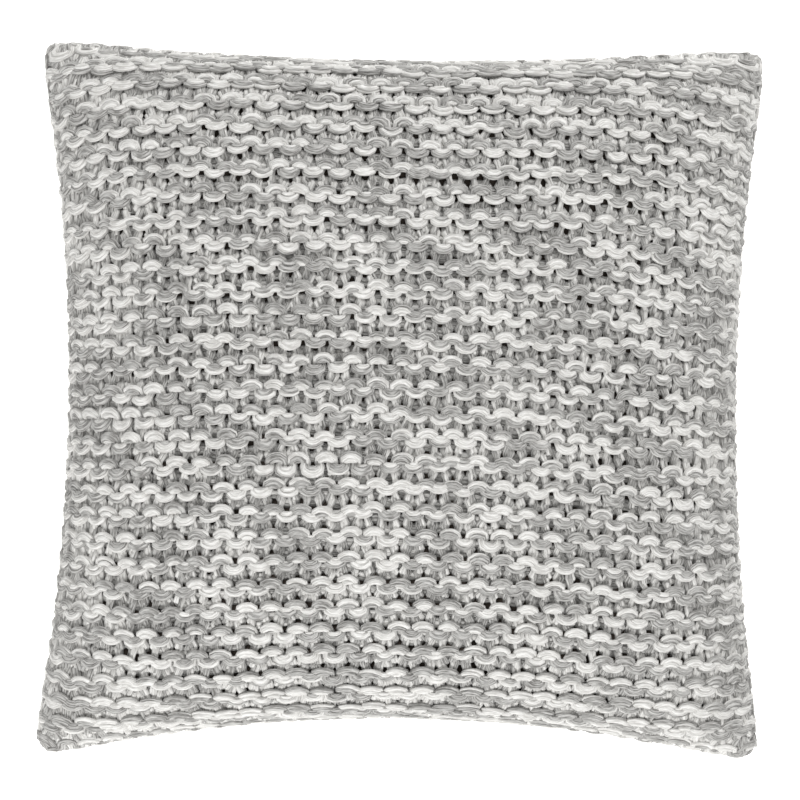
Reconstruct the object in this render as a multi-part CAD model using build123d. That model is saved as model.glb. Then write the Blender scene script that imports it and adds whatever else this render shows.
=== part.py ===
from build123d import *
import os
from math import atan2, cos, hypot, pi, sin

# A square throw pillow that lies on its back: +Z up through its thickness, its knitted front on top.
# The origin is the middle of the flat patch it rests on. All lengths are in millimetres.

# Outline of the knitted front, seen from above: its corners before they are rounded,
# and how far each side bows in between its two corners.
CORNERS = {
    "top_left": (-228.2, 229.1),
    "top_right": (232.8, 222.9),
    "bottom_right": (228.9, -230.65),
    "bottom_left": (-233.4, -226.6),
}
SAG = {"top": 10.0, "right": 16.5, "bottom": 26.0, "left": 19.5}
CORNER_RADIUS = 9.0
SMALLEST_CORNER = 2.5

# Heights. The rim is the plane where the front and the back panel meet.
RIM = 64.0
FRONT_CROWN = 86.0
BACK_CROWN = 68.0
FRONT_SHOULDER = 4.0
BACK_SHOULDER = 15.0
CORNER_THINNING = 0.65
DOME_POWER = 1.0
DOME_STEPS = 24
DOME_MARGIN = 1.0

# Layers, from the outside in: how far each face is inside the outline, and how far it is below the crown.
KNIT_EDGE = 9.0
KNIT_THICKNESS = 12.0
CLOTH_GAP = 0.25
LINING_THICKNESS = 0.6
BACK_EDGE = 8.2
BACK_THICKNESS = 1.5
INSERT_EDGE = 12.8
INSERT_THICKNESS = 0.6
INSERT_GAP = 0.5
THREAD = 0.7

# Zip: a coil chain in a gap between the two panels along the bottom side.
CHAIN_EDGE = 8.8
CHAIN_DROP = 5.3
GAP_HEIGHT = 10.6
COIL_THICKNESS = 2.4
COIL_OUT = 3.0
COIL_IN = 0.7
TAPE_THICKNESS = 0.6
TAPE_WIDTH = 12.0
TAPE_REACH = 180.0
GAP_REACH = 176.0
COIL_REACH = 169.5
STOP_LENGTH = 2.5
TRAVEL_REACH = 163.0

# Slider, crown and tab, in the slider's own frame: x along the chain, -y outwards, z across the chain.
SLIDER_LENGTH = 12.0
SLIDER_WIDTH = 9.2
PLATE = 1.2
FRONT_PLATE_Y = -2.8
BACK_PLATE_Y = 2.2
FLANGE_LIP_Y = 0.8
CROWN_WIDTH = 2.2
CROWN_LENGTH = 9.6
CROWN_TOP_Y = -5.6
CROWN_WALL = 0.9
PIVOT_Y = -3.75
TAB_THICKNESS = 1.2
TAB_WIDTH = 8.0
TAB_LENGTH = 30.0
TAB_NECK = 7.5
TAB_RAIL_OUT = 3.2
TAB_RAIL_IN = 1.6

# Labels in the seams: length along the seam, and their top and bottom measured from the rim.
LABEL_LENGTH = 40.0
LABEL_THICKNESS = 0.6
LABEL_TOP = -1.0
LABEL_BOTTOM = -17.0

FAR = 300.0


def side_circle(first, second, sag):
    """Centre and radius of the large circle outside the pillow whose arc is the side from first to second."""
    (x1, y1), (x2, y2) = CORNERS[first], CORNERS[second]
    chord = hypot(x2 - x1, y2 - y1)
    radius = chord**2 / (8 * sag) + sag / 2
    out_x, out_y = (y1 - y2) / chord, (x2 - x1) / chord
    reach = radius - sag
    return ((x1 + x2) / 2 + out_x * reach, (y1 + y2) / 2 + out_y * reach), radius


# Going round clockwise seen from above, so that the outward side is on the left of each side's direction.
SIDES = {
    "top": side_circle("top_left", "top_right", SAG["top"]),
    "right": side_circle("top_right", "bottom_right", SAG["right"]),
    "bottom": side_circle("bottom_right", "bottom_left", SAG["bottom"]),
    "left": side_circle("bottom_left", "top_left", SAG["left"]),
}


def outline(inset):
    """Flat outline of the pillow, moved in by inset: a square less the four side circles, corners rounded."""
    sheet = Rectangle(2 * FAR, 2 * FAR)
    for (x, y), radius in SIDES.values():
        sheet -= Pos(x, y) * Circle(radius + inset)
    middle = sheet.faces().sort_by_distance((0, 0))[0]
    return fillet(middle.vertices(), max(CORNER_RADIUS - inset / 2, SMALLEST_CORNER))


def edge_point(u, v, inset):
    """Point of the plan at u, v from -1 to 1, where the borders u, v = -1 and 1 follow the bowed sides."""
    low, high = (v + 1) / 2, (u + 1) / 2
    left = CORNERS["bottom_left"][0] * (1 - low) + CORNERS["top_left"][0] * low
    right = CORNERS["bottom_right"][0] * (1 - low) + CORNERS["top_right"][0] * low
    bottom = CORNERS["bottom_left"][1] * (1 - high) + CORNERS["bottom_right"][1] * high
    top = CORNERS["top_left"][1] * (1 - high) + CORNERS["top_right"][1] * high
    left += SAG["left"] * (1 - v * v) + inset
    right -= SAG["right"] * (1 - v * v) + inset
    bottom += SAG["bottom"] * (1 - u * u) + inset
    top -= SAG["top"] * (1 - u * u) + inset
    return left + (right - left) * high, bottom + (top - bottom) * low


def dome(inset, shoulder, crown):
    """Domed face over the outline: height = shoulder + rise * (cos a * cos b) ** power, with a, b from
    -90 to 90 degrees and u = sin a, v = sin b across the plan. The shoulder gets thinner near the corners,
    where u * v is near 1."""
    rows = []
    for i in range(DOME_STEPS + 1):
        a = pi * (i / DOME_STEPS - 0.5)
        row = []
        for j in range(DOME_STEPS + 1):
            b = pi * (j / DOME_STEPS - 0.5)
            x, y = edge_point(sin(a), sin(b), inset - DOME_MARGIN)
            rise = (max(cos(a), 0) * max(cos(b), 0)) ** DOME_POWER
            edge = shoulder * (1 - CORNER_THINNING * (sin(a) * sin(b)) ** 12)
            row.append(Vector(x, y, RIM + edge + (crown - edge) * rise))
        rows.append(row)
    return Face.make_surface_from_array_of_points(rows)


def front_half(inset, drop):
    """Solid from the rim plane up to the dome whose top is drop below the pillow's crown."""
    under = extrude(dome(inset, FRONT_SHOULDER, FRONT_CROWN - drop), FAR, (0, 0, -1))
    return under & Pos(0, 0, RIM) * extrude(outline(inset), FAR)


def back_half(inset, drop):
    """Solid from the rim plane down to the back dome, which is cut flat where the pillow rests."""
    over = extrude(dome(inset, -BACK_SHOULDER, drop - BACK_CROWN), FAR, (0, 0, 1))
    return over & Pos(0, 0, drop) * extrude(outline(inset), RIM - drop)


def seam_frame(side, inset, along):
    """Frame on a side's arc: x along the side, -y outwards, z up; along is measured from the arc's middle."""
    (x, y), radius = SIDES[side]
    start = atan2(-y, -x)
    angle = start - along / (radius + inset)
    reach = radius + inset
    place = (x + reach * cos(angle), y + reach * sin(angle), 0)
    return Location(place, (0, 0, (angle - pi / 2) * 180 / pi))


def seam_block(side, insets, reach, heights):
    """Block bent along a side's arc between two insets, from reach[0] to reach[1] along it."""
    (x, y), radius = SIDES[side]
    near, far = radius + insets[0], radius + insets[1]
    start = atan2(-y, -x)
    angles = [start - s / near for s in (reach[0], sum(reach) / 2, reach[1])]
    inner = [(x + near * cos(a), y + near * sin(a)) for a in angles]
    outer = [(x + far * cos(a), y + far * sin(a)) for a in angles]
    edges = [
        ThreePointArc(*inner),
        Line(inner[2], outer[2]),
        ThreePointArc(*reversed(outer)),
        Line(outer[0], inner[0]),
    ]
    sheet = make_face(Wire(edges))
    return Pos(0, 0, heights[0]) * extrude(sheet, heights[1] - heights[0], (0, 0, 1))


def chain_block(outwards, reach, across):
    """Block on the zip's chain: outwards from its mid-plane, along it, and across it."""
    middle = RIM - CHAIN_DROP
    insets = (CHAIN_EDGE - outwards[1], CHAIN_EDGE - outwards[0])
    return seam_block("bottom", insets, reach, (middle + across[0], middle + across[1]))


def knit_front_panel():
    return front_half(0, 0) - front_half(KNIT_EDGE, KNIT_THICKNESS)


def front_lining():
    edge, drop = KNIT_EDGE + CLOTH_GAP, KNIT_THICKNESS + CLOTH_GAP
    return front_half(edge, drop) - front_half(edge + LINING_THICKNESS, drop + LINING_THICKNESS)


def back_panel():
    shell = back_half(BACK_EDGE, 0) - back_half(BACK_EDGE + BACK_THICKNESS, BACK_THICKNESS)
    gap = seam_block("bottom", (0, KNIT_EDGE + 2), (-GAP_REACH, GAP_REACH), (RIM - GAP_HEIGHT, RIM + 1))
    return shell - gap


def insert_panel(half, drop):
    inner = half(INSERT_EDGE + INSERT_THICKNESS, drop + INSERT_THICKNESS)
    return half(INSERT_EDGE, drop) - inner


def fibre_fill():
    edge = INSERT_EDGE + INSERT_THICKNESS + CLOTH_GAP
    return front_half(edge, FILL_FRONT_DROP) + back_half(edge, FILL_BACK_DROP)


def seam_ring(inset, size, height):
    """Closed square thread round the pillow at the rim."""
    ring = extrude(outline(inset), height, both=True)
    return Pos(0, 0, RIM) * (ring - extrude(outline(inset + size), height, both=True))


def cover_seam_thread():
    ring = seam_ring(KNIT_EDGE + 1.3, THREAD, THREAD / 2)
    return ring - seam_block("bottom", (0, 30), (-TAPE_REACH - 1, TAPE_REACH + 1), (0, 2 * RIM))


def insert_seam_thread():
    return seam_ring(INSERT_EDGE - 0.5, 0.4, 0.25)


def zip_tape(sign):
    across = sorted((sign * COIL_IN, sign * TAPE_WIDTH))
    behind = -COIL_THICKNESS / 2
    return chain_block((behind - TAPE_THICKNESS, behind), (-TAPE_REACH, TAPE_REACH), across)


def zip_coil(sign):
    across = sorted((sign * COIL_IN, sign * COIL_OUT))
    half = COIL_THICKNESS / 2
    return chain_block((-half, half), (-COIL_REACH, COIL_REACH), across)


def zip_top_stops():
    reach = (COIL_REACH + 0.3, COIL_REACH + 0.3 + STOP_LENGTH)
    half = COIL_THICKNESS / 2
    upper = chain_block((-half, half), reach, (COIL_IN, COIL_OUT))
    lower = chain_block((-half, half), reach, (-COIL_OUT, -COIL_IN))
    return Compound(children=[upper.solid(), lower.solid()])


def zip_bottom_stop():
    reach = (-COIL_REACH - 0.3 - STOP_LENGTH, -COIL_REACH - 0.3)
    half = COIL_THICKNESS / 2
    return chain_block((-half, half), reach, (-COIL_OUT, COIL_OUT))


def zip_thread_front():
    """Stitch line on the inner face of the front tape."""
    inset = CHAIN_EDGE + COIL_THICKNESS / 2 + TAPE_THICKNESS + 0.1
    return seam_block("bottom", (inset, inset + THREAD), (-GAP_REACH, GAP_REACH), (RIM + 2.6, RIM + 3.3))


def zip_thread_back():
    """Stitch line on the outer face of the back panel, just below the gap."""
    top = RIM - GAP_HEIGHT - 2
    insets = (BACK_EDGE - 0.1 - THREAD, BACK_EDGE - 0.1)
    return seam_block("bottom", insets, (-GAP_REACH, GAP_REACH), (top - THREAD, top))


def label(side, inset):
    reach = (-LABEL_LENGTH / 2, LABEL_LENGTH / 2)
    return seam_block(side, (inset, inset + LABEL_THICKNESS), reach, (RIM + LABEL_BOTTOM, RIM + LABEL_TOP))


def plate(length, width, y, thickness, rounding):
    """Rounded rectangular plate that lies along the chain, from y to y + thickness."""
    sheet = fillet(Rectangle(length, width).vertices(), rounding)
    return Pos(0, y, 0) * Rot(-90, 0, 0) * extrude(sheet, thickness)


def block(x, y, z):
    """Plain block between the given low and high values on each axis."""
    size = (x[1] - x[0], y[1] - y[0], z[1] - z[0])
    return Pos(sum(x) / 2, sum(y) / 2, sum(z) / 2) * Box(*size)


def zip_slider():
    """Two plates joined by a thin post between the coils, with a flange down each side of the front plate."""
    half = SLIDER_LENGTH / 2
    side = SLIDER_WIDTH / 2
    body = plate(SLIDER_LENGTH, SLIDER_WIDTH, FRONT_PLATE_Y, PLATE, 2.4)
    body += plate(SLIDER_LENGTH, SLIDER_WIDTH, BACK_PLATE_Y, PLATE, 2.4)
    body += block((half - 3, half - 0.8), (FRONT_PLATE_Y + PLATE, BACK_PLATE_Y), (-0.4, 0.4))
    for sign in (-1, 1):
        across = sorted((sign * (side - 1.1), sign * side))
        body += block((3 - half, half - 3), (FRONT_PLATE_Y + PLATE, FLANGE_LIP_Y), across)
    return body


def slider_crown():
    """Arch over the front plate, under which the tab's bar turns."""
    half, side = CROWN_LENGTH / 2, CROWN_WIDTH / 2
    arch = block((-half, half), (CROWN_TOP_Y, FRONT_PLATE_Y), (-side, side))
    arch = fillet(arch.edges().filter_by(Axis.Z).group_by(Axis.Y)[0], 1.4)
    inside = block((-half + 1, half - 1), (CROWN_TOP_Y + CROWN_WALL, FRONT_PLATE_Y), (-side, side))
    return arch - inside


def pull_tab():
    """Tab that lies towards -x: a bar in the crown, two rails round it, and a rounded plate."""
    low, high = PIVOT_Y - TAB_THICKNESS / 2, PIVOT_Y + TAB_THICKNESS / 2
    wide = Pos(-(TAB_LENGTH + TAB_NECK) / 2, 0) * Rectangle(TAB_LENGTH - TAB_NECK, TAB_WIDTH)
    near = wide.vertices().group_by(Axis.X)[-1]
    sheet = chamfer(near, 0.9)
    sheet = fillet(sheet.vertices().group_by(Axis.X)[0], 3.6)
    sheet += Pos(-(TAB_NECK + 1) / 2, 0) * Rectangle(TAB_NECK + 1, 2 * TAB_RAIL_OUT)
    window = Pos(-TAB_NECK / 2, 0) * Rectangle(TAB_NECK, 2 * TAB_RAIL_IN)
    tab = Pos(0, low, 0) * Rot(-90, 0, 0) * extrude(sheet - window, high - low)
    return tab + Pos(0, PIVOT_Y, 0) * Cylinder(TAB_THICKNESS / 2, 2 * TAB_RAIL_OUT)


FRONT_CLOTH_DROP = KNIT_THICKNESS + CLOTH_GAP + LINING_THICKNESS
INSERT_FRONT_DROP = FRONT_CLOTH_DROP + INSERT_GAP
INSERT_BACK_DROP = BACK_THICKNESS + INSERT_GAP
FILL_FRONT_DROP = INSERT_FRONT_DROP + INSERT_THICKNESS + CLOTH_GAP
FILL_BACK_DROP = INSERT_BACK_DROP + INSERT_THICKNESS + CLOTH_GAP

slider_place = Pos(0, 0, RIM - CHAIN_DROP) * seam_frame("bottom", CHAIN_EDGE, TRAVEL_REACH)

pieces = {
    "knit_front_panel": knit_front_panel(),
    "front_lining": front_lining(),
    "back_panel": back_panel(),
    "cover_seam_thread": cover_seam_thread(),
    "zip_tape_front": zip_tape(1),
    "zip_tape_back": zip_tape(-1),
    "zip_coil_front": zip_coil(1),
    "zip_coil_back": zip_coil(-1),
    "zip_top_stops": zip_top_stops(),
    "zip_bottom_stop": zip_bottom_stop(),
    "zip_slider": slider_place * zip_slider(),
    "slider_crown": slider_place * slider_crown(),
    "pull_tab": slider_place * pull_tab(),
    "zip_thread_front": zip_thread_front(),
    "zip_thread_back": zip_thread_back(),
    "care_label": label("left", BACK_EDGE + BACK_THICKNESS + 1.1),
    "insert_front_panel": insert_panel(front_half, INSERT_FRONT_DROP),
    "insert_back_panel": insert_panel(back_half, INSERT_BACK_DROP),
    "insert_seam_thread": insert_seam_thread(),
    "insert_label": label("right", BACK_EDGE + BACK_THICKNESS + 1.4),
    "fibre_fill": fibre_fill(),
}

os.makedirs("parts", exist_ok=True)
for name, piece in pieces.items():
    export_step(piece, f"parts/{name}.step")

whole = Compound(children=[solid for piece in pieces.values() for solid in piece.solids()]).bounding_box()
print("box low ", [round(v, 3) for v in whole.min])
print("box high", [round(v, 3) for v in whole.max])
(centre_x, centre_y), bottom_radius = SIDES["bottom"]
chain_radius = bottom_radius + CHAIN_EDGE
print("zip hinge at", round(centre_x, 4), round(centre_y, 4), "radius", round(chain_radius, 3))
print("zip travel in degrees", round(2 * TRAVEL_REACH / chain_radius * 180 / pi, 4))
pivot = (slider_place * Pos(0, PIVOT_Y, 0)).position
print("tab pivot", [round(v, 4) for v in pivot])
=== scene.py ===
# %% [markdown]
# # A square throw pillow with a hand-knitted front
#
# The real pillow is a loose cover round a stuffed insert. The cover's front is a thick garter-stitch
# knit made of four soft cotton ends carried together, two white and two grey. Its back is plain
# cotton canvas, and a coil zip closes the bottom side. The knit is what everybody sees, so it is made
# here the way it is made on needles: as rows of looped yarn, not as a picture of rows.

# %% Load the fixed frame
import bmesh
import bpy
import math
import numpy as np
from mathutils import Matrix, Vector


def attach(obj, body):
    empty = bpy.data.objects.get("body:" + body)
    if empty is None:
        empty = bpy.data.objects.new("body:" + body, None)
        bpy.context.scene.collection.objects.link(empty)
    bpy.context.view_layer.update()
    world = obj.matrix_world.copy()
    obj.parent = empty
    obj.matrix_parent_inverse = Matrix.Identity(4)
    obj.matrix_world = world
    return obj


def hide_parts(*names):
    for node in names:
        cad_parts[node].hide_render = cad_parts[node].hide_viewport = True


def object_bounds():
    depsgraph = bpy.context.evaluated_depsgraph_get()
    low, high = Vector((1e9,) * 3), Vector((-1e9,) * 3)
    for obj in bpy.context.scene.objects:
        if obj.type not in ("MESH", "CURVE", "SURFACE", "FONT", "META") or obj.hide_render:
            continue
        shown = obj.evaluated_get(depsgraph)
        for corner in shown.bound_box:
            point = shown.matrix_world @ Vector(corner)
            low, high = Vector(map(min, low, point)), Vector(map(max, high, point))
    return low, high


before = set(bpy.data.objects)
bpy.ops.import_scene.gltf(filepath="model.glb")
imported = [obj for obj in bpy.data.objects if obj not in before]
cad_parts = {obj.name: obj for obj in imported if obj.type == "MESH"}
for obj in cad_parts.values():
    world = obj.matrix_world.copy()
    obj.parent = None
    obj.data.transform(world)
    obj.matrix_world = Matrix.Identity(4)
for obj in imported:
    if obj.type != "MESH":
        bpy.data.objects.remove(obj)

cad_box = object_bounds()
MM = 0.001
random = np.random.default_rng(7)
print("frame box in mm:", [[round(value / MM) for value in corner] for corner in cad_box])

# %% [markdown]
# ## Colours and nodes
#
# Dyers give a colour as an sRGB hex value, but a renderer adds up light, so one function turns every
# colour linear. Another adds a shader node with its settings and its links.

# %% Colour and material helpers
def linear(code, alpha=1.0):
    """sRGB hex to linear RGBA: ((c + 0.055) / 1.055) ** 2.4 for each channel, or c / 12.92 when dark."""
    channels = [int(code[i : i + 2], 16) / 255 for i in (1, 3, 5)]
    light = [c / 12.92 if c <= 0.04045 else ((c + 0.055) / 1.055) ** 2.4 for c in channels]
    return (*light, alpha)


def add_node(material, kind, inputs=None, **settings):
    """A new shader node with its settings. An input given as another node's output is linked to it."""
    node = material.node_tree.nodes.new(kind)
    for name, value in settings.items():
        setattr(node, name, value)
    for name, value in (inputs or {}).items():
        if isinstance(value, bpy.types.NodeSocket):
            material.node_tree.links.new(value, node.inputs[name])
        else:
            node.inputs[name].default_value = value
    return node


def new_material(name, **inputs):
    """A material whose Principled shader has these values, with _ for a space in each socket's name."""
    material = bpy.data.materials.new(name)
    material.use_nodes = True
    shader = material.node_tree.nodes["Principled BSDF"]
    for socket, value in inputs.items():
        shader.inputs[socket.replace("_", " ")].default_value = value
    return material, shader


def connect(material, output, shader, socket):
    """Link one node's output to a socket of the shader."""
    material.node_tree.links.new(output, shader.inputs[socket])


def add_noise(material, place, scale, detail, roughness=0.5):
    """Noise over a place, from 0 to 1, with patches about 1 / scale wide."""
    inputs = {"Vector": place, "Scale": scale, "Detail": detail, "Roughness": roughness}
    return add_node(material, "ShaderNodeTexNoise", inputs).outputs["Fac"]


def add_tone(material, shader, share, dark, pale):
    """Colour a shader between two tones: dark where the share is 0, pale where it is 1."""
    inputs = {"Factor": share, "A": linear(dark), "B": linear(pale)}
    tone = add_node(material, "ShaderNodeMix", inputs, data_type="RGBA")
    connect(material, tone.outputs["Result"], shader, "Base Color")


def add_relief(material, shader, height, strength, depth):
    """Bend a shader's normal as if its surface rose and fell with the height."""
    inputs = {"Height": height, "Strength": strength, "Distance": depth}
    bump = add_node(material, "ShaderNodeBump", inputs)
    connect(material, bump.outputs["Normal"], shader, "Normal")


# %% [markdown]
# ## Meshes from arrays
#
# A surface is a grid of points worked out all at once with numpy. Blender's arrays are filled
# directly, because a pillow of a million faces would take too long point by point.

# %% Mesh helper
def new_piece(name, points, face_sets, uv_sets, material, slot, replaces, body="pillow"):
    """One object from points (n, 3), arrays of faces with the same number of corners, and their UVs."""
    corners = np.concatenate([faces.ravel() for faces in face_sets])
    sizes = np.concatenate([np.full(len(faces), faces.shape[1]) for faces in face_sets])
    starts = np.concatenate([[0], np.cumsum(sizes)[:-1]])
    mesh = bpy.data.meshes.new(name)
    mesh.vertices.add(len(points))
    mesh.vertices.foreach_set("co", points.astype(np.float32).ravel())
    mesh.loops.add(len(corners))
    mesh.loops.foreach_set("vertex_index", corners.astype(np.int32))
    mesh.polygons.add(len(sizes))
    mesh.polygons.foreach_set("loop_start", starts.astype(np.int32))
    mesh.polygons.foreach_set("use_smooth", np.ones(len(sizes), bool))
    layer = mesh.uv_layers.new(name="along_and_across")
    uvs = np.concatenate([uv.reshape(-1, 2) for uv in uv_sets])
    layer.data.foreach_set("uv", uvs.astype(np.float32).ravel())
    mesh.materials.append(material)
    mesh.update(calc_edges=True)
    mesh.validate()
    piece = bpy.data.objects.new(name, mesh)
    bpy.context.scene.collection.objects.link(piece)
    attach(piece, body)
    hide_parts(*replaces)
    mesh.calc_loop_triangles()
    print(f"{name}: {len(mesh.loop_triangles)} triangles")
    return piece


# %% [markdown]
# ## Camera, floor and light
#
# The pillow lies on its back and is seen from straight above. The floor is a
# back-lit white table, so that it stays white right up to the pillow's edge. Two soft lights stand
# low on opposite sides and a small one hangs above, so all four slopes are lit about as brightly.

# %% Camera, floor and light
CAMERA_HEIGHT = 1.9
RIM = 0.064
VIEW_WIDTH = 0.5096
SENSOR = 36.0

camera = bpy.data.objects.new("camera", bpy.data.cameras.new("camera"))
camera.location = (0, 0, RIM + CAMERA_HEIGHT)
camera.data.sensor_width = SENSOR
camera.data.lens = SENSOR * CAMERA_HEIGHT / VIEW_WIDTH
bpy.context.scene.collection.objects.link(camera)
bpy.context.scene.camera = camera

FLOOR_REACH = 6.0
FLOOR_GLOW = 0.45
ROOM_GLOW = 0.46
floor_material, _ = new_material(
    "matt white acrylic, back-lit",
    Base_Color=linear("#F2F2F0"),
    Roughness=0.8,
    Emission_Color=(1, 1, 1, 1),
    Emission_Strength=FLOOR_GLOW,
)
floor_mesh = bpy.data.meshes.new("floor")
floor_corners = [(x * FLOOR_REACH, y * FLOOR_REACH, 0) for x, y in ((-1, -1), (1, -1), (1, 1), (-1, 1))]
floor_mesh.from_pydata(floor_corners, [], [(0, 1, 2, 3)])
floor_mesh.materials.append(floor_material)
floor = bpy.data.objects.new("floor", floor_mesh)
bpy.context.scene.collection.objects.link(floor)


def area_light(name, place, size, power):
    """A square soft light at a place, turned to face the middle of the pillow."""
    lamp = bpy.data.lights.new(name, "AREA")
    lamp.energy = power
    lamp.size = size
    light = bpy.data.objects.new(name, lamp)
    light.location = place
    towards = light.location.copy()
    towards.z -= RIM
    light.rotation_euler = towards.to_track_quat("Z", "Y").to_euler()
    bpy.context.scene.collection.objects.link(light)


area_light("key_light", (-0.4, -1.8, 1.4), 0.8, 36)
area_light("fill_light", (0.6, 1.7, 1.4), 1.4, 30)
area_light("front_light", (0.1, 0.1, 2.4), 0.5, 6)
world = bpy.data.worlds.new("soft studio")
world.use_nodes = True
sky = world.node_tree.nodes["Background"].inputs
sky["Color"].default_value, sky["Strength"].default_value = (1, 1, 1, 1), ROOM_GLOW
bpy.context.scene.world = world
bpy.context.scene.view_settings.view_transform = "Standard"

# %% [markdown]
# ## The outline
#
# A stuffed square never stays square: its sides pull in between the corners. Each side here is a
# straight line between two corners less a bow that is widest in the middle, and the corners are drawn
# in a little so that they are round.

# %% The pillow's plan
CORNERS = {
    "top_left": (-228.2 * MM, 229.1 * MM),
    "top_right": (232.8 * MM, 222.9 * MM),
    "bottom_right": (228.9 * MM, -230.65 * MM),
    "bottom_left": (-233.4 * MM, -226.6 * MM),
}
BOW = {"top": 10.0 * MM, "right": 16.5 * MM, "bottom": 26.0 * MM, "left": 19.5 * MM}
CORNER_DRAW = 0.015
CORNER_SHARPNESS = 16


def smoothstep(share):
    """0 below 0, 1 above 1, and 3 s^2 - 2 s^3 between."""
    s = np.clip(share, 0, 1)
    return s * s * (3 - 2 * s)


def plan(u, v, inset):
    """Place of u, v from -1 to 1: a blend of the four bowed sides, with each corner drawn inwards by
    1 - draw * |u v| ** sharpness."""
    draw = 1 - CORNER_DRAW * np.abs(u * v) ** CORNER_SHARPNESS
    u, v = u * draw, v * draw
    low, high = (v + 1) / 2, (u + 1) / 2
    left = CORNERS["bottom_left"][0] * (1 - low) + CORNERS["top_left"][0] * low
    right = CORNERS["bottom_right"][0] * (1 - low) + CORNERS["top_right"][0] * low
    bottom = CORNERS["bottom_left"][1] * (1 - high) + CORNERS["bottom_right"][1] * high
    top = CORNERS["top_left"][1] * (1 - high) + CORNERS["top_right"][1] * high
    left = left + BOW["left"] * (1 - v * v) + inset
    right = right - BOW["right"] * (1 - v * v) - inset
    bottom = bottom + BOW["bottom"] * (1 - u * u) + inset
    top = top - BOW["top"] * (1 - u * u) - inset
    return left + (right - left) * high, bottom + (top - bottom) * low


# %% [markdown]
# ## The stuffed form
#
# The shape of a stuffed cover can't be drawn, because it is what two flat squares do when they are
# sewn together and filled. So it is simulated: one closed net of two square panels, cut flat, held at
# its seam, and pushed out by pressure from inside. The net starts from a low dome, which saves time.
# Below the bottom seam, the zip's stiff tape holds the first stretch of the back panel upright.

# %% Net of the two panels before filling
GRID = 61
CUT = 0.460
SEAM_INSET = 4.5 * MM
SEAM_DRAW = 2.2 * MM
TAPE_INSET = 8.2 * MM
START_FRONT = 72 * MM
HALF_WIDTH = 205 * MM
START_BACK = 60 * MM
TAPE_ROWS = 2
TAPE_SHARE = 0.82
TAPE_RELEASE = 0.92

flat = np.linspace(-1, 1, GRID)
flat_u, flat_v = np.meshgrid(flat, flat)
turn = np.linspace(-np.pi / 2, np.pi / 2, 721)
arc_steps = np.hypot(np.diff(np.sin(turn)), START_FRONT / HALF_WIDTH * np.diff(np.cos(turn)))
arc = np.concatenate([[0], np.cumsum(arc_steps)])
arc = 2 * arc / arc[-1] - 1


def spread_out(a, b):
    """Where a flat share a lands across a dome: as far along the arc of a half ellipse as a is along
    the flat cloth, except on the seams, where b is 1 and a stays as it is."""
    return np.interp(a, arc, np.sin(turn)) * (1 - b**4) + a * b**4


dome_u, dome_v = spread_out(flat_u, flat_v), spread_out(flat_v, flat_u)
drawn = SEAM_INSET + SEAM_DRAW * (1 - (flat_u * flat_v) ** 2)
plan_x, plan_y = plan(dome_u, dome_v, drawn)
swell = np.sqrt(np.clip((1 - dome_u**2) * (1 - dome_v**2), 0, None))
front_start = np.stack([plan_x, plan_y, RIM + START_FRONT * swell], -1)
back_start = np.stack([plan_x, plan_y, RIM - START_BACK * swell], -1)
taped = np.zeros((GRID, GRID), bool)
taped[: TAPE_ROWS + 1] = np.abs(flat_u[: TAPE_ROWS + 1]) < TAPE_SHARE
taped[1] = np.abs(flat_u[1]) < TAPE_RELEASE
drop = np.arange(GRID)[:, None] * CUT / (GRID - 1) + 0 * flat_u
taped[0] = False
tape_line = np.broadcast_to(plan(dome_u, dome_v, TAPE_INSET)[1][0], plan_y.shape)
back_start[taped, 1] = tape_line[taped]
back_start[taped, 2] = (RIM - drop)[taped]
print("net:", 2 * GRID**2 - 4 * (GRID - 1), "points,", taped.sum(), "of them held by the tape")

# %% [markdown]
# The seam and the taped strip are held. The rest shape is the flat cut, so the cloth hardly stretches.

# %% Fill the net
CLOTH_FRAMES = 24
PRESSURE = 4.0


def quads(index):
    """Four-cornered faces between the points of an index grid, facing +Z when rows run to +Y."""
    faces = np.stack([index[:-1, :-1], index[:-1, 1:], index[1:, 1:], index[1:, :-1]], -1)
    return faces.reshape(-1, 4)


inner = np.zeros((GRID, GRID), bool)
inner[1:-1, 1:-1] = True
front_index = np.arange(GRID * GRID).reshape(GRID, GRID)
back_index = front_index.copy()
back_index[inner] = GRID * GRID + np.arange(inner.sum())


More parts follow.
